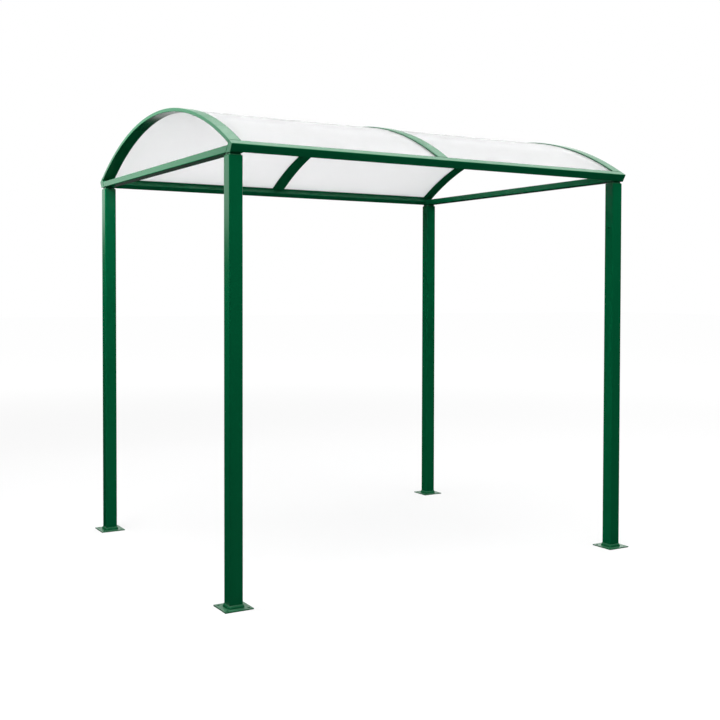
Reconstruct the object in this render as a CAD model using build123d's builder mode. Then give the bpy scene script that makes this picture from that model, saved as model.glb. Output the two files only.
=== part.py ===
from build123d import *
import math
import os

# Open bike shelter. X runs along the eaves, -Y is the front, +Z is up.
# The origin is on the floor at the middle of the four posts. Millimetres.

# Overall layout
post_spacing_x = 2500
post_spacing_y = 1980
post_height = 2210
springing_angle = 30.8

# Posts: square tube with rounded corners
post_side = 72
post_wall = 3
post_corner = 7

# Base plates and their anchor holes
base_side = 150
base_thickness = 6
anchor_spacing = 112
anchor_hole_radius = 7

# Weld bead round each foot
foot_weld_leg = 7
foot_weld_height = 13
foot_weld_toe = 1

# Cap on each post and the narrower plate that carries the roof frame
cap_thickness = 8
cap_chamfer = 3
neck_inset = 7
neck_corner = 4
neck_height = 10

# Holes for accessories, drilled in the side wall that faces left
accessory_hole_radius = 5
accessory_hole_drops = {"rear_right": 66, "front_right": 268}

# Eave tubes, square and turned so that their top face carries on the line of the arches
eave_side = 45
eave_wall = 3
eave_corner = 5
eave_overhang = 6
eave_cap_thickness = 3
saddle_start = 9

# Tie beams across the two ends
tie_width = 64
tie_height = 37
tie_wall = 3
tie_corner = 4

# Arches rolled from flat rectangular tube; the middle one stands a little left of the centre
arch_width = 64
arch_depth = 20
arch_wall = 2
arch_corner = 2
middle_arch_offset = -28

# Roof sheets and the strips that they lie on
sheet_thickness = 4
sheet_recess = 6
sheet_clearance = 0.3
seat_width = 12
seat_thickness = 4

# Places worked out from the sizes above
foot_weld_taper = math.degrees(math.atan((foot_weld_leg - foot_weld_toe) / foot_weld_height))
cosine = math.cos(math.radians(springing_angle))
sine = math.sin(math.radians(springing_angle))
slope = math.tan(math.radians(springing_angle))
frame_floor = post_height + neck_height
frame_end = post_spacing_x / 2 + post_side / 2
eave_edge_y = post_spacing_y / 2 + post_side / 2 + eave_overhang
springing_y = eave_edge_y + eave_side * (sine - cosine)
springing_z = frame_floor + eave_side * (sine + cosine)
arch_radius = springing_y / sine
arch_centre_z = springing_z - arch_radius * cosine
sheet_radius = arch_radius - sheet_recess - sheet_thickness / 2
seat_radius = arch_radius - sheet_recess - sheet_thickness - sheet_clearance - seat_thickness / 2

CORNERS = {
    "front_left": (-1, -1),
    "front_right": (1, -1),
    "rear_left": (-1, 1),
    "rear_right": (1, 1),
}
EAVES = {"front": -1, "rear": 1}
ENDS = {"left": -1, "right": 1}
ARCHES = {
    "left": -(frame_end - arch_width / 2),
    "middle": middle_arch_offset,
    "right": frame_end - arch_width / 2,
}
BAYS = {"left": ("left", "middle"), "right": ("middle", "right")}

os.makedirs("parts", exist_ok=True)


def save(piece, label):
    piece.part.label = label
    export_step(piece.part, f"parts/{label}.step")


def eave_plane(x, side_y):
    """Plane across an eave: local x goes up and inward under the tube, local y up its outer face."""
    return Plane(
        origin=(x, side_y * eave_edge_y, frame_floor),
        x_dir=(0, -side_y * cosine, sine),
        z_dir=(-side_y, 0, 0),
    )


def springing_plane(x):
    """Plane across the front end of the arches: local y points away from the arch's centre."""
    return Plane(
        origin=(x, 0, arch_centre_z),
        x_dir=(1, 0, 0),
        z_dir=(0, -cosine, -sine),
    )


def roof_axis():
    return Axis((0, 0, arch_centre_z), (-1, 0, 0))


def bay_span(bay):
    """Middle and clear width of a bay, between the facing sides of its two arches."""
    from_x, to_x = [ARCHES[arch] for arch in BAYS[bay]]
    return (from_x + to_x) / 2, to_x - from_x - arch_width


# Posts with their base plates, foot welds, caps and neck plates
for corner, (side_x, side_y) in CORNERS.items():
    post_x = side_x * post_spacing_x / 2
    post_y = side_y * post_spacing_y / 2

    with BuildPart() as base_plate:
        with BuildSketch(Plane((post_x, post_y, 0))):
            Rectangle(base_side, base_side)
            with GridLocations(anchor_spacing, anchor_spacing, 2, 2):
                Circle(anchor_hole_radius, mode=Mode.SUBTRACT)
        extrude(amount=base_thickness)
    save(base_plate, f"{corner}_base_plate")

    with BuildPart() as post:
        with BuildSketch(Plane((post_x, post_y, base_thickness))):
            RectangleRounded(post_side, post_side, post_corner)
            post_bore = post_side - 2 * post_wall
            RectangleRounded(post_bore, post_bore, post_corner - post_wall, mode=Mode.SUBTRACT)
        extrude(amount=post_height - cap_thickness - base_thickness)
        if corner in accessory_hole_drops:
            hole_z = post_height - accessory_hole_drops[corner]
            hole_plane = Plane((post_x - post_side / 2, post_y, hole_z), z_dir=(-1, 0, 0))
            with Locations(hole_plane):
                Hole(accessory_hole_radius, depth=post_side / 2)
    save(post, f"{corner}_post")

    with BuildPart() as foot_weld:
        with BuildSketch(Plane((post_x, post_y, base_thickness))):
            bead_side = post_side + 2 * foot_weld_leg
            RectangleRounded(bead_side, bead_side, post_corner + foot_weld_leg)
        extrude(amount=foot_weld_height, taper=foot_weld_taper)
        with BuildSketch(Plane((post_x, post_y, base_thickness))):
            RectangleRounded(post_side, post_side, post_corner)
        extrude(amount=foot_weld_height, mode=Mode.SUBTRACT)
    save(foot_weld, f"{corner}_foot_weld")

    with BuildPart() as post_cap:
        with BuildSketch(Plane((post_x, post_y, post_height - cap_thickness))):
            RectangleRounded(post_side, post_side, post_corner)
        extrude(amount=cap_thickness)
        chamfer(post_cap.faces().sort_by(Axis.Z)[-1].edges(), length=cap_chamfer)
    save(post_cap, f"{corner}_post_cap")

    with BuildPart() as neck_plate:
        with BuildSketch(Plane((post_x, post_y, post_height))):
            neck_side = post_side - 2 * neck_inset
            RectangleRounded(neck_side, neck_side, neck_corner)
        extrude(amount=neck_height)
    save(neck_plate, f"{corner}_neck_plate")

# Eave tubes
for eave, side_y in EAVES.items():
    tube_end = frame_end - eave_cap_thickness
    with BuildPart() as eave_tube:
        with BuildSketch(eave_plane(side_y * tube_end, side_y)):
            with Locations((eave_side / 2, eave_side / 2)):
                RectangleRounded(eave_side, eave_side, eave_corner)
                eave_bore = eave_side - 2 * eave_wall
                RectangleRounded(
                    eave_bore, eave_bore, eave_corner - eave_wall, mode=Mode.SUBTRACT
                )
        extrude(amount=2 * tube_end)
    save(eave_tube, f"{eave}_eave_tube")

# End caps that close the eave tubes, and the wedges that carry the tubes on the necks
for corner, (side_x, side_y) in CORNERS.items():
    cap_inside = side_x * (frame_end - eave_cap_thickness)

    with BuildPart() as eave_cap:
        with BuildSketch(eave_plane(cap_inside, side_y)):
            with BuildLine():
                Polyline(
                    (0, 0),
                    (eave_side, -eave_side * slope),
                    (eave_side, eave_side),
                    (0, eave_side),
                    close=True,
                )
            make_face()
        extrude(amount=-side_x * side_y * eave_cap_thickness)
    save(eave_cap, f"{corner}_eave_cap")

    with BuildPart() as saddle:
        with BuildSketch(eave_plane(cap_inside, side_y)):
            with BuildLine():
                Polyline(
                    (saddle_start, 0),
                    (saddle_start, -saddle_start * slope),
                    (eave_side, -eave_side * slope),
                    (eave_side, 0),
                    close=True,
                )
            make_face()
        extrude(amount=side_x * side_y * (post_side - eave_cap_thickness))
    save(saddle, f"{corner}_eave_saddle")

# Tie beams, mitred against the inner faces of the eave tubes
for end, side_x in ENDS.items():
    tie_plane = Plane(
        origin=(side_x * (frame_end - tie_width / 2), 0, frame_floor + tie_height / 2),
        x_dir=(1, 0, 0),
        z_dir=(0, -1, 0),
    )
    with BuildPart() as tie_beam:
        with BuildSketch(tie_plane):
            RectangleRounded(tie_width, tie_height, tie_corner)
            RectangleRounded(
                tie_width - 2 * tie_wall,
                tie_height - 2 * tie_wall,
                tie_corner - tie_wall,
                mode=Mode.SUBTRACT,
            )
        extrude(amount=eave_edge_y, both=True)
        for side_y in EAVES.values():
            mitre = Plane(
                origin=(
                    0,
                    side_y * (eave_edge_y - eave_side * cosine),
                    frame_floor + eave_side * sine,
                ),
                x_dir=(1, 0, 0),
                z_dir=(0, side_y * cosine, -sine),
            )
            split(bisect_by=mitre, keep=Keep.BOTTOM)
    save(tie_beam, f"{end}_tie_beam")

# Arches, rolled to one radius and cut square to it at the eave tubes
for place, arch_x in ARCHES.items():
    with BuildPart() as arch:
        with BuildSketch(springing_plane(arch_x)):
            with Locations((0, arch_radius - arch_depth / 2)):
                Rectangle(arch_width, arch_depth)
                chamfer(vertices(), length=arch_corner)
                Rectangle(
                    arch_width - 2 * arch_wall, arch_depth - 2 * arch_wall, mode=Mode.SUBTRACT
                )
        revolve(axis=roof_axis(), revolution_arc=2 * springing_angle)
    save(arch, f"{place}_arch")

# Roof sheets and the seat strips along the arches
for bay in BAYS:
    bay_x, bay_width = bay_span(bay)
    with BuildPart() as sheet:
        with BuildSketch(springing_plane(bay_x)):
            with Locations((0, sheet_radius)):
                Rectangle(bay_width - 2 * sheet_clearance, sheet_thickness)
        revolve(axis=roof_axis(), revolution_arc=2 * springing_angle)
    save(sheet, f"{bay}_roof_sheet")

    for side, side_x in ENDS.items():
        with BuildPart() as arch_seat:
            with BuildSketch(springing_plane(bay_x + side_x * (bay_width - seat_width) / 2)):
                with Locations((0, seat_radius)):
                    Rectangle(seat_width, seat_thickness)
            revolve(axis=roof_axis(), revolution_arc=2 * springing_angle)
        save(arch_seat, f"{bay}_bay_{side}_seat")

# Seat strips along the eave tubes, one for each bay between the curved strips
for eave, side_y in EAVES.items():
    with BuildPart() as eave_seat:
        for bay in BAYS:
            bay_x, bay_width = bay_span(bay)
            seat_run = bay_width - 2 * seat_width
            with BuildSketch(eave_plane(bay_x + side_y * seat_run / 2, side_y)):
                seat_y = eave_side + seat_radius - arch_radius
                with Locations((eave_side + seat_width / 2, seat_y)):
                    Rectangle(seat_width, seat_thickness)
            extrude(amount=seat_run)
    save(eave_seat, f"{eave}_eave_seat")
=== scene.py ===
import math

import bmesh
import bpy
from mathutils import Matrix, Vector


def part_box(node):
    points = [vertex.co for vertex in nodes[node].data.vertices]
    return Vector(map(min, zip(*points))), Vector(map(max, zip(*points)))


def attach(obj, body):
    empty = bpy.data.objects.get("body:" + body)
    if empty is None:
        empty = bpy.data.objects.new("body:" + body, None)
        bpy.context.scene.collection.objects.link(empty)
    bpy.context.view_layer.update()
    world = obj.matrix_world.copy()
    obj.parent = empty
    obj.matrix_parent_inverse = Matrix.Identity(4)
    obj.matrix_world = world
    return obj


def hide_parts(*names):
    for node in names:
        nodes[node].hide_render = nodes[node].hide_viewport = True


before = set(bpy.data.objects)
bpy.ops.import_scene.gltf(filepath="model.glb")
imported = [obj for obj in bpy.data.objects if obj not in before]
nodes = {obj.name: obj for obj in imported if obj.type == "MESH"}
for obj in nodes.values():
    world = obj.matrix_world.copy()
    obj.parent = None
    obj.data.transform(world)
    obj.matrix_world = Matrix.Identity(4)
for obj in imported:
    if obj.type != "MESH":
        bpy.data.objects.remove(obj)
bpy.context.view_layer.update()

CORNERS = ("front_left", "front_right", "rear_left", "rear_right")
SIDES = {"front": -1, "rear": 1}
X, Y = Vector((1, 0, 0)), Vector((0, 1, 0))

# Sizes of the frame that its boxes don't give
POST_CORNER = 0.007
NECK_CORNER = 0.004
TIE_CORNER = 0.003
ARCH_CORNER = 0.002
ARCH_DEPTH = 0.020
SPRINGING_ANGLE = math.radians(30.8)
SINE = math.sin(SPRINGING_ANGLE)
COSINE = math.cos(SPRINGING_ANGLE)

# Weld beads: the fillets round the feet and necks, and the smaller seams of the roof frame
FOOT_LEG = 0.009
FOOT_HEIGHT = 0.017
NECK_LEG = 0.003
NECK_HEIGHT = 0.004
SEAM_PROUD = 0.0014
SEAM_REACH = 0.003
SEAM_POINTS = 8
GROUND_FLUSH = 0.003
RIPPLE_PITCH = 0.0048
RIPPLE_STEPS = 4
RIPPLE_DEPTH = 0.17
CORNER_STEPS = 3
MERGE_DISTANCE = 0.00002

# A full fillet, as shares of its leg outward and of its height upward
FILLET_SHAPE = [(0.0, 0.0), (1.0, 0.0), (0.86, 0.26), (0.55, 0.58), (0.24, 0.86), (0.0, 1.0)]

# Dark beads in the corners between the sheets and the arches: painted shade that stands for the shaded
# side walls of the arches. The shape is a share of the width outward, and a height over the sheet
SHEET_RECESS = 0.006
SHADE_BEAD_WIDTH = 0.0055
SHADE_BEAD_STEPS = 40
SHADE_BEAD_SHAPE = [(0.0, -0.0004), (1.0, -0.0004), (0.92, 0.0016), (0.62, 0.0034), (0.28, 0.0044),
              (0.0, 0.0048)]

# Colours
COAT_GREEN = (0.0008, 0.100, 0.036, 1)
# Pale grey of dust on faces that look up; on the green paint it also lightens the tops as a painted
# sheen
COAT_DUST_AND_SHEEN = (0.5, 0.5, 0.48, 1)
# Painted shade: the near-black green of the beads beside the arches
PAINTED_SHADE_GREEN = (0.001, 0.045, 0.018, 1)
SHEET_TINT = (0.986, 0.988, 0.994, 1)
SHEET_DUST = (0.95, 0.95, 0.94, 1)
WHITE = (1, 1, 1, 1)

# Scale of the powder's broad ripple against its fine one
BROAD_RIPPLE = 0.18

# Dust and painted top sheen: how far a face has to look up to hold none and all of it, and the patches
# that it lies in
HOLDS_DUST_AND_SHEEN = (0.25, 0.95)
DUST_SHEEN_PATCH_SCALE = 14.0
DUST_SHEEN_PATCHES = (0.35, 0.7)
LEAST_DUST_SHEEN = 0.35
DUSTY_ROUGHNESS = 0.9

# Floor: its own tone, and the glow that makes it white to the eye, from the middle outward
FLOOR_SIZE = 60
FLOOR_TONE = 0.25
FLOOR_GLOW = (0.64, 0.98)
FLOOR_GLOW_REACH = 14.0

# World: a weak light all round, and what shows in the gloss of the paint. Each pair is where a
# ramp begins and ends along one direction.
AMBIENT = 0.04
SKYLINE = (0.042, 0.075)
SKY_FROM_FRONT = (-0.3, 0.5)
SKY_FROM_LEFT = (-0.54, -0.42)
SKY_LOW_TO_MIDDLE = (0.15, 0.4)
SKY_LOW = 1.7
SKY_MIDDLE = 0.62
SKY_FAR_RIGHT = (0.55, 0.72)
SKY_FAR_RIGHT_GAIN = 1.8
SKY_OVERHEAD = (0.45, 0.8)
SKY_DIM = 0.004
SKY_TOP = 2.2
FAR_FLOOR = 0.14
FAR_FLOOR_BEGIN = (-0.135, -0.085)
FAR_FLOOR_END = (-0.06, 0.0)
FAR_FLOOR_LEFT = (0.0, 0.15)
FAR_FLOOR_RIGHT = (0.42, 0.54)

# Soft lamps: name, place, aim, width, height and power in watts
LAMPS = [
    ("overhead", (0, -0.5, 6.5), (0, -0.5, 2.2), 11, 8, 1050),
    ("front_strip", (0, -4.2, 4.6), (0, 0, 2.5), 7, 1, 116),
    ("high_left", (-2.5, 0.3, 3.0), (-1.0, -0.2, 2.6), 2.4, 0.6, 74),
    ("roof_glow", (0, 0, 2.43), (0, 0, 0), 2.3, 1.5, 9),
]

# The photo's camera: angles in degrees, lens and sensor in millimetres
CAMERA_PLACE = (-3.3341, -5.7213, 1.544)
CAMERA_YAW = 30.748
CAMERA_PITCH = -1.459
CAMERA_ROLL = 0.142
CAMERA_LENS = 52.717
CAMERA_SENSOR = 36
CAMERA_SHIFT = (-0.0032, -0.0559)
CAMERA_REACH = 200


# Shader building blocks

def add(tree, kind, **settings):
    """Adds a shader node and sets its properties."""
    node = tree.nodes.new("ShaderNode" + kind)
    for name, value in settings.items():
        setattr(node, name, value)
    return node


def join(tree, source, target):
    tree.links.new(source, target)


def fill(node, **values):
    """Sets a node's inputs; an underscore stands for the space in a socket's name."""
    for name, value in values.items():
        node.inputs[name.replace("_", " ")].default_value = value
    return node


def math_node(tree, operation, *sources, **settings):
    """A Math node whose inputs are sockets or plain numbers."""
    node = add(tree, "Math", operation=operation, **settings)
    for source, target in zip(sources, node.inputs):
        if isinstance(source, float):
            target.default_value = source
        else:
            join(tree, source, target)
    return node.outputs[0]


def times(tree, *sources):
    """Multiplies sockets and plain numbers."""
    product = sources[0]
    for source in sources[1:]:
        product = math_node(tree, "MULTIPLY", product, source)
    return product


def ramp(tree, value, low, high, to_low=0.0, to_high=1.0, shape="SMOOTHSTEP"):
    """Goes from to_low to to_high as the value goes from low to high."""
    rise = add(tree, "MapRange", interpolation_type=shape)
    fill(rise, From_Min=low, From_Max=high, To_Min=to_low, To_Max=to_high)
    join(tree, value, rise.inputs["Value"])
    return rise.outputs["Result"]


def new_effect(name, inputs, outputs):
    """An empty effect group with named inputs and outputs."""
    group = bpy.data.node_groups.new(name, "ShaderNodeTree")
    for label, kind, value in inputs:
        socket = group.interface.new_socket(label, in_out="INPUT", socket_type="NodeSocket" + kind)
        if value is not None:
            socket.default_value = value
    for label, kind in outputs:
        group.interface.new_socket(label, in_out="OUTPUT", socket_type="NodeSocket" + kind)
    return group, group.nodes.new("NodeGroupInput"), group.nodes.new("NodeGroupOutput")


def place_effect(tree, group, place, **values):
    """Puts an effect group in a material, at the object's own coordinates."""
    node = tree.nodes.new("ShaderNodeGroup")
    node.node_tree = group
    join(tree, place, node.inputs["Place"])
    return fill(node, **values)


def effect_orange_peel():
    """The slight ripple of sprayed and baked powder, as a height."""
    group, given, made = new_effect(
        "Orange Peel",
        [("Place", "Vector", None), ("Size", "Float", 0.003), ("Lumps", "Float", 0.3)],
        [("Height", "Float")],
    )
    fine_scale = math_node(group, "DIVIDE", 1.0, given.outputs["Size"])
    fine = fill(add(group, "TexNoise"), Detail=2.0, Roughness=0.45)
    join(group, given.outputs["Place"], fine.inputs["Vector"])
    join(group, fine_scale, fine.inputs["Scale"])
    broad = fill(add(group, "TexNoise"), Detail=1.0, Roughness=0.5)
    join(group, given.outputs["Place"], broad.inputs["Vector"])
    join(group, times(group, fine_scale, BROAD_RIPPLE), broad.inputs["Scale"])
    both = math_node(group, "MULTIPLY_ADD", broad.outputs["Fac"], given.outputs["Lumps"],
                     fine.outputs["Fac"])
    join(group, both, made.inputs["Height"])
    return group


def effect_shade_drift():
    """A colour that drifts a little darker and lighter over a hand's breadth."""
    group, given, made = new_effect(
        "Shade Drift",
        [("Place", "Vector", None), ("Colour", "Color", (0.1, 0.1, 0.1, 1)),
         ("Drift", "Float", 0.12), ("Scale", "Float", 6.0)],
        [("Colour", "Color")],
    )
    noise = fill(add(group, "TexNoise"), Detail=3.0, Roughness=0.55)
    join(group, given.outputs["Place"], noise.inputs["Vector"])
    join(group, given.outputs["Scale"], noise.inputs["Scale"])
    centred = math_node(group, "SUBTRACT", noise.outputs["Fac"], 0.5)
    gain = math_node(group, "MULTIPLY_ADD", centred, given.outputs["Drift"], 1.0)
    shade = add(group, "VectorMath", operation="SCALE")
    join(group, given.outputs["Colour"], shade.inputs[0])
    join(group, gain, shade.inputs["Scale"])
    join(group, shade.outputs[0], made.inputs["Colour"])
    return group


def effect_dust_and_top_sheen():
    """Pale dust on faces that look up, thicker in patches; on the green paint it also works as a
    painted sheen that lightens the tops.
    """
    group, given, made = new_effect(
        "Settled Dust And Top Sheen",
        [("Place", "Vector", None), ("Colour", "Color", (0.1, 0.1, 0.1, 1)),
         ("Dust Colour", "Color", COAT_DUST_AND_SHEEN), ("Amount", "Float", 0.1), ("Roughness", "Float", 0.4)],
        [("Colour", "Color"), ("Roughness", "Float")],
    )
    split = add(group, "SeparateXYZ")
    join(group, add(group, "NewGeometry").outputs["Normal"], split.inputs[0])
    looks_up = ramp(group, split.outputs["Z"], *HOLDS_DUST_AND_SHEEN)
    patches = fill(add(group, "TexNoise"), Scale=DUST_SHEEN_PATCH_SCALE, Detail=4.0, Roughness=0.6)
    join(group, given.outputs["Place"], patches.inputs["Vector"])
    spread = ramp(group, patches.outputs["Fac"], *DUST_SHEEN_PATCHES, LEAST_DUST_SHEEN, 1.0, "LINEAR")
    amount = times(group, looks_up, spread, given.outputs["Amount"])
    colour = add(group, "Mix", data_type="RGBA")
    join(group, amount, colour.inputs[0])
    join(group, given.outputs["Colour"], colour.inputs[6])
    join(group, given.outputs["Dust Colour"], colour.inputs[7])
    rough = fill(add(group, "MapRange"), To_Max=DUSTY_ROUGHNESS)
    join(group, amount, rough.inputs["Value"])
    join(group, given.outputs["Roughness"], rough.inputs["To Min"])
    join(group, colour.outputs[2], made.inputs["Colour"])
    join(group, rough.outputs["Result"], made.inputs["Roughness"])
    return group


orange_peel = effect_orange_peel()
shade_drift = effect_shade_drift()
dust_sheen_group = effect_dust_and_top_sheen()


# Finishes

def new_finish(name, colour, drift, drift_scale, dust_sheen_colour, dust, roughness, ripple_size, lumps,
               ripple_depth):
    """A material with a drifting shade, settled dust (on the green paint also a painted top sheen) and
    a fine ripple; gives its surface shader.
    """
    material = bpy.data.materials.new(name)
    material.use_nodes = True
    tree = material.node_tree
    surface = tree.nodes["Principled BSDF"]
    place = add(tree, "TexCoord").outputs["Object"]
    shade = place_effect(tree, shade_drift, place, Colour=colour, Drift=drift, Scale=drift_scale)
    dust_sheen_node = place_effect(tree, dust_sheen_group, place, Dust_Colour=dust_sheen_colour, Amount=dust,
                          Roughness=roughness)
    join(tree, shade.outputs["Colour"], dust_sheen_node.inputs["Colour"])
    join(tree, dust_sheen_node.outputs["Colour"], surface.inputs["Base Color"])
    join(tree, dust_sheen_node.outputs["Roughness"], surface.inputs["Roughness"])
    ripple = place_effect(tree, orange_peel, place, Size=ripple_size, Lumps=lumps)
    bump = fill(add(tree, "Bump"), Strength=1.0, Distance=ripple_depth)
    join(tree, ripple.outputs["Height"], bump.inputs["Height"])
    join(tree, bump.outputs["Normal"], surface.inputs["Normal"])
    return material, surface


def green_coat(name, colour=COAT_GREEN, peel_size=0.003, peel_depth=0.00003, roughness=0.17,
               dust=0.1, drift=0.14, gloss=0.15):
    """Green polyester powder on steel; its pale dust on the tops also paints a lighter sheen there."""
    material, surface = new_finish(name, colour, drift, drift_scale=5.0, dust_sheen_colour=COAT_DUST_AND_SHEEN,
                                   dust=dust, roughness=roughness, ripple_size=peel_size,
                                   lumps=0.4, ripple_depth=peel_depth)
    fill(surface, IOR=1.5, Specular_IOR_Level=gloss)
    return material


def frosted_sheet(name):
    """Opal polycarbonate: light comes through it, shapes behind it don't."""
    material, surface = new_finish(name, SHEET_TINT, drift=0.03, drift_scale=9.0,
                                   dust_sheen_colour=SHEET_DUST, dust=0.25, roughness=0.7,
                                   ripple_size=0.004, lumps=0.8, ripple_depth=0.00012)
    fill(surface, IOR=1.45, Specular_IOR_Level=0.05, Transmission_Weight=0.965)
    return material


post_coat = green_coat("Green Coat Posts")
frame_coat = green_coat("Green Coat Roof Frame")
plate_coat = green_coat("Green Coat Base Plates", dust=0.09, drift=0.22, roughness=0.26, gloss=0.1)
weld_coat = green_coat("Green Coat Welds", peel_size=0.0015, peel_depth=0.00008, roughness=0.36)
sheet_finish = frosted_sheet("Frosted Roof Sheet")
# Painted shade: a near-black finish for the beads beside the arches, where their side walls fall in
# shade
painted_shade_finish = green_coat("Dark Green Painted Shade", colour=PAINTED_SHADE_GREEN, peel_size=0.006, peel_depth=0.00005,
                         roughness=0.5, dust=0.05)


def finish_node(node, material):
    for slot in nodes[node].material_slots:
        slot.material = material


for node in nodes:
    if node.endswith("roof_sheet"):
        finish_node(node, sheet_finish)
    elif node.endswith("base_plate"):
        finish_node(node, plate_coat)
    elif node.endswith(("_post", "post_cap", "neck_plate", "foot_weld")):
        finish_node(node, post_coat)
    else:
        finish_node(node, frame_coat)


def finish_piece(name, shape, material):
    """Makes the object, smooth shaded, and lets it ride with the frame."""
    mesh = bpy.data.meshes.new(name)
    shape.to_mesh(mesh)
    shape.free()
    mesh.shade_smooth()
    mesh.materials.append(material)
    piece = bpy.data.objects.new(name, mesh)
    bpy.context.scene.collection.objects.link(piece)
    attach(piece, "root")
    return piece


def middle(node):
    low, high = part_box(node)
    return (low + high) / 2


# Weld beads

def fillet_profile(leg, height):
    """A fillet in a corner: how far out and how far up each point lies."""
    return [(leg * out, height * up) for out, up in FILLET_SHAPE]


def seam_profile():
    """A low round bead that lies across a seam."""
    turns = [2 * math.pi * step / SEAM_POINTS for step in range(SEAM_POINTS)]
    return [(SEAM_PROUD * math.cos(turn), SEAM_REACH * math.sin(turn)) for turn in turns]


def outline_ring(shape, places):
    """A closed ring of vertices and edges."""
    ring = [shape.verts.new(place) for place in places]
    edges = [shape.edges.new((ring[i - 1], ring[i])) for i in range(len(ring))]
    return ring, ring + edges


def only_verts(parts):
    return [part for part in parts if isinstance(part, bmesh.types.BMVert)]


def bead_loop(shape, centre, along_u, along_v, half_u, half_v, radius, profile):
    """Runs a rippled bead round a rounded rectangle that lies in the plane of along_u and along_v."""
    normal = along_u.cross(along_v)
    seam = centre + along_u * half_u - along_v * (half_v - radius)
    first, swept = outline_ring(shape, [seam + along_u * out + normal * up for out, up in profile])
    rings = [(first, seam.copy())]
    step_length = RIPPLE_PITCH / RIPPLE_STEPS
    heading = along_v
    for quarter in range(4):
        half_run = (half_v if quarter % 2 == 0 else half_u) - radius
        steps = max(1, round(2 * half_run / step_length))
        stride = heading * (2 * half_run / steps)
        for _ in range(steps):
            made = bmesh.ops.spin(shape, geom=swept, cent=seam, axis=normal, dvec=stride, angle=0.0,
                                  steps=1, use_duplicate=False)
            swept = made["geom_last"]
            seam = seam + stride
            rings.append((only_verts(swept), seam.copy()))
        inward = normal.cross(heading)
        pivot = seam + inward * radius
        steps = max(CORNER_STEPS, round(radius * math.pi / 2 / step_length))
        turn = math.pi / 2 / steps
        for _ in range(steps):
            made = bmesh.ops.spin(shape, geom=swept, cent=pivot, axis=normal, dvec=(0, 0, 0),
                                  angle=turn, steps=1, use_duplicate=False)
            swept = made["geom_last"]
            seam = pivot + Matrix.Rotation(turn, 3, normal) @ (seam - pivot)
            rings.append((only_verts(swept), seam.copy()))
        heading = inward
    for count, (ring, root) in enumerate(rings[:-1]):
        shrink = 1 - RIPPLE_DEPTH * (count % RIPPLE_STEPS) / (RIPPLE_STEPS - 1)
        for vert in ring:
            vert.co = root + (vert.co - root) * shrink
    # The last ring closes on the first
    for vert in rings[-1][0]:
        vert.co = min((start.co for start in first), key=lambda place: (place - vert.co).length)
    bmesh.ops.remove_doubles(shape, verts=shape.verts, dist=MERGE_DISTANCE)
    bmesh.ops.recalc_face_normals(shape, faces=shape.faces)


def weld_foot(corner):
    low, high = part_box(f"{corner}_post")
    centre = middle(f"{corner}_post")
    centre.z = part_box(f"{corner}_base_plate")[1].z
    half = (high.x - low.x) / 2
    shape = bmesh.new()
    bead_loop(shape, centre, X, Y, half, half, POST_CORNER, fillet_profile(FOOT_LEG, FOOT_HEIGHT))
    bead = finish_piece(f"{corner}_rippled_foot_weld", shape, weld_coat)
    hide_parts(f"{corner}_foot_weld")


def weld_neck(corner):
    low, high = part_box(f"{corner}_neck_plate")
    centre = middle(f"{corner}_neck_plate")
    centre.z = low.z
    half = (high.x - low.x) / 2
    shape = bmesh.new()
    bead_loop(shape, centre, X, Y, half, half, NECK_CORNER, fillet_profile(NECK_LEG, NECK_HEIGHT))
    finish_piece(f"{corner}_neck_weld", shape, weld_coat)


def weld_arch_foot(arch, side, side_y):
    """Round the end of an arch on the eave tube; the bead on the outer face is ground flush."""
    low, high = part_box(f"{arch}_arch")
    outward = Vector((0, side_y * SINE, COSINE))
    outer = Vector(((low.x + high.x) / 2, side_y * high.y, low.z + ARCH_DEPTH * COSINE))
    centre = outer - outward * (ARCH_DEPTH + GROUND_FLUSH) / 2
    half_depth = (ARCH_DEPTH - GROUND_FLUSH) / 2
    shape = bmesh.new()
    bead_loop(shape, centre, X, outward, (high.x - low.x) / 2, half_depth, ARCH_CORNER, seam_profile())
    finish_piece(f"{arch}_arch_{side}_weld", shape, weld_coat)


def weld_tie_end(end, side, side_y):
    """Round the mitred end of a tie beam, against the inner face of the eave tube."""
    low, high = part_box(f"{end}_tie_beam")
    rise = Vector((0, side_y * SINE, COSINE))
    half_rise = (high.z - low.z) / 2 / COSINE
    centre = Vector(((low.x + high.x) / 2, side_y * high.y, high.z)) - rise * half_rise
    shape = bmesh.new()
    bead_loop(shape, centre, X, rise, (high.x - low.x) / 2, half_rise, TIE_CORNER, seam_profile())
    finish_piece(f"{end}_tie_{side}_weld", shape, weld_coat)


for corner in CORNERS:
    weld_foot(corner)
    weld_neck(corner)
for side, side_y in SIDES.items():
    for arch in ("left", "middle", "right"):
        weld_arch_foot(arch, side, side_y)
    for end in ("left", "right"):
        weld_tie_end(end, side, side_y)


# Painted shade: dark beads between the sheets and the arches, where the side walls of the arches fall
# in shade

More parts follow.
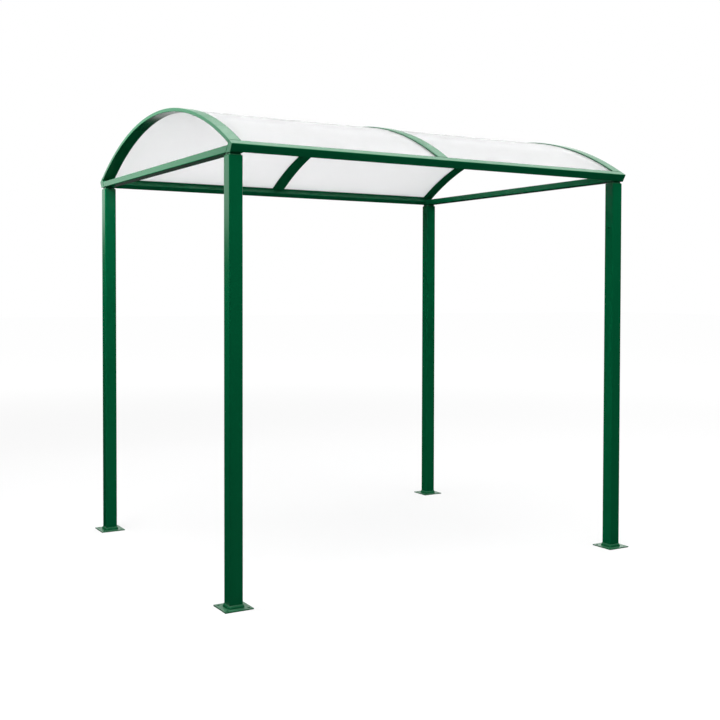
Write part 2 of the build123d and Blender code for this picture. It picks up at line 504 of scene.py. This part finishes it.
def lay_shade_bead(arch, side, side_x):
    """A soft dark bead in the corner between the wall of an arch and the top of the sheet beside it:
    painted shade for that wall.
    """
    low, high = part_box(f"{arch}_arch")
    arch_radius = high.y / SINE
    sheet_top = arch_radius - SHEET_RECESS
    roof_centre = Vector((0, 0, high.z - arch_radius))
    wall = high.x if side_x > 0 else low.x
    to_front = Vector((0, -SINE, COSINE))
    places = [roof_centre + X * (wall + side_x * SHADE_BEAD_WIDTH * out) + to_front * (sheet_top + rise)
              for out, rise in SHADE_BEAD_SHAPE]
    shape = bmesh.new()
    _, swept = outline_ring(shape, places)
    bmesh.ops.spin(shape, geom=swept, cent=roof_centre, axis=X, dvec=(0, 0, 0),
                   angle=-2 * SPRINGING_ANGLE, steps=SHADE_BEAD_STEPS, use_duplicate=False)
    bmesh.ops.holes_fill(shape, edges=[edge for edge in shape.edges if edge.is_boundary], sides=0)
    bmesh.ops.recalc_face_normals(shape, faces=shape.faces)
    finish_piece(f"{arch}_arch_{side}_dark_shade_bead", shape, painted_shade_finish)


lay_shade_bead("left", "right", 1)
lay_shade_bead("middle", "left", -1)
lay_shade_bead("middle", "right", 1)
lay_shade_bead("right", "left", -1)


# Floor, light and camera

def seen_rays(tree):
    """1 for the rays that show a background: from the camera, in a reflection or through a sheet."""
    rays = add(tree, "LightPath")
    direct = math_node(tree, "MAXIMUM", rays.outputs["Is Camera Ray"], rays.outputs["Is Glossy Ray"])
    return math_node(tree, "MAXIMUM", direct, rays.outputs["Is Transmission Ray"])


def choose(tree, factor, off, on):
    """Mixes two shaders by a factor."""
    mix = add(tree, "MixShader")
    for source, target in zip((factor, off.outputs[0], on.outputs[0]), mix.inputs):
        join(tree, source, target)
    return mix


def make_floor():
    """Pale floor that shows white with the shelter's faint shadow, and sends some light back up."""
    mesh = bpy.data.meshes.new("floor")
    shape = bmesh.new()
    bmesh.ops.create_grid(shape, x_segments=1, y_segments=1, size=FLOOR_SIZE)
    shape.to_mesh(mesh)
    shape.free()
    floor = bpy.data.objects.new("floor", mesh)
    floor.visible_glossy = False
    bpy.context.scene.collection.objects.link(floor)
    material = bpy.data.materials.new("Pale Floor")
    material.use_nodes = True
    tree = material.node_tree
    tree.nodes.clear()
    out = add(tree, "OutputMaterial")
    dim = fill(add(tree, "BsdfDiffuse"), Color=(FLOOR_TONE, FLOOR_TONE, FLOOR_TONE, 1))
    reach = add(tree, "VectorMath", operation="LENGTH")
    join(tree, add(tree, "TexCoord").outputs["Object"], reach.inputs[0])
    glow = fill(add(tree, "Emission"), Color=WHITE)
    strength = ramp(tree, reach.outputs["Value"], 0.0, FLOOR_GLOW_REACH, *FLOOR_GLOW)
    join(tree, strength, glow.inputs["Strength"])
    pale = add(tree, "AddShader")
    join(tree, dim.outputs[0], pale.inputs[0])
    join(tree, glow.outputs[0], pale.inputs[1])
    shown = choose(tree, seen_rays(tree), dim, pale)
    join(tree, shown.outputs[0], out.inputs["Surface"])
    mesh.materials.append(material)


def gloss_sky(tree):
    """What the paint mirrors: a bright sky above and behind, and a strip of far floor below it."""
    towards = add(tree, "SeparateXYZ")
    join(tree, add(tree, "TexCoord").outputs["Generated"], towards.inputs[0])
    rightward, rearward, upward = towards.outputs["X"], towards.outputs["Y"], towards.outputs["Z"]
    behind = ramp(tree, rearward, *SKY_FROM_FRONT)
    sky = times(
        tree,
        ramp(tree, upward, *SKYLINE),
        behind,
        ramp(tree, rightward, *SKY_FROM_LEFT),
        ramp(tree, upward, *SKY_LOW_TO_MIDDLE, SKY_LOW, SKY_MIDDLE),
        ramp(tree, rightward, *SKY_FAR_RIGHT, 1.0, SKY_FAR_RIGHT_GAIN),
    )
    far_floor = times(
        tree,
        ramp(tree, upward, *FAR_FLOOR_BEGIN),
        ramp(tree, upward, *FAR_FLOOR_END, FAR_FLOOR, 0.0),
        ramp(tree, rightward, *FAR_FLOOR_LEFT),
        ramp(tree, rightward, *FAR_FLOOR_RIGHT, 1.0, 0.0),
        behind,
    )
    overhead = ramp(tree, upward, *SKY_OVERHEAD, SKY_DIM, SKY_TOP)
    return math_node(tree, "ADD", math_node(tree, "ADD", sky, far_floor), overhead)


def make_world():
    """White to the eye and through the sheets, a soft sky in the gloss, and weak light all round."""
    world = bpy.data.worlds.new("Studio")
    bpy.context.scene.world = world
    world.use_nodes = True
    tree = world.node_tree
    tree.nodes.clear()
    out = add(tree, "OutputWorld")
    ambient = fill(add(tree, "Background"), Color=WHITE, Strength=AMBIENT)
    mirrored = fill(add(tree, "Background"), Color=WHITE)
    join(tree, gloss_sky(tree), mirrored.inputs["Strength"])
    white = fill(add(tree, "Background"), Color=WHITE, Strength=1.0)
    # A ray through a frosted sheet counts as glossy too, and still has to see white
    rays = add(tree, "LightPath")
    mirror_ray = math_node(tree, "SUBTRACT", rays.outputs["Is Glossy Ray"],
                           rays.outputs["Is Transmission Ray"], use_clamp=True)
    seen = choose(tree, mirror_ray, white, mirrored)
    shown = choose(tree, seen_rays(tree), ambient, seen)
    join(tree, shown.outputs[0], out.inputs["Surface"])


def softbox(name, place, aim, width, height, power):
    """A soft lamp that lights the paint but isn't mirrored in it; the sky is what shows there."""
    light = bpy.data.lights.new(name, "AREA")
    light.shape = "RECTANGLE"
    light.size = width
    light.size_y = height
    light.energy = power
    lamp = bpy.data.objects.new(name, light)
    lamp.location = place
    lamp.rotation_euler = (Vector(aim) - Vector(place)).to_track_quat("-Z", "Y").to_euler()
    lamp.visible_camera = False
    lamp.visible_transmission = False
    lamp.visible_glossy = False
    bpy.context.scene.collection.objects.link(lamp)


def make_camera():
    """The photo's eye: 1.5 m above the floor, front left of the shelter."""
    lens = bpy.data.cameras.new("Photo Camera")
    lens.sensor_width = CAMERA_SENSOR
    lens.lens = CAMERA_LENS
    lens.shift_x, lens.shift_y = CAMERA_SHIFT
    lens.clip_end = CAMERA_REACH
    camera = bpy.data.objects.new("Photo Camera", lens)
    turn = Matrix.Rotation(math.radians(-CAMERA_YAW), 3, "Z")
    tilt = Matrix.Rotation(math.radians(90 + CAMERA_PITCH), 3, "X")
    roll = Matrix.Rotation(math.radians(CAMERA_ROLL), 3, "Z")
    camera.rotation_euler = (turn @ tilt @ roll).to_euler()
    camera.location = CAMERA_PLACE
    bpy.context.scene.collection.objects.link(camera)
    bpy.context.scene.camera = camera


make_floor()
make_world()
for lamp in LAMPS:
    softbox(*lamp)
make_camera()

view = bpy.context.scene.view_settings
view.view_transform = "Standard"
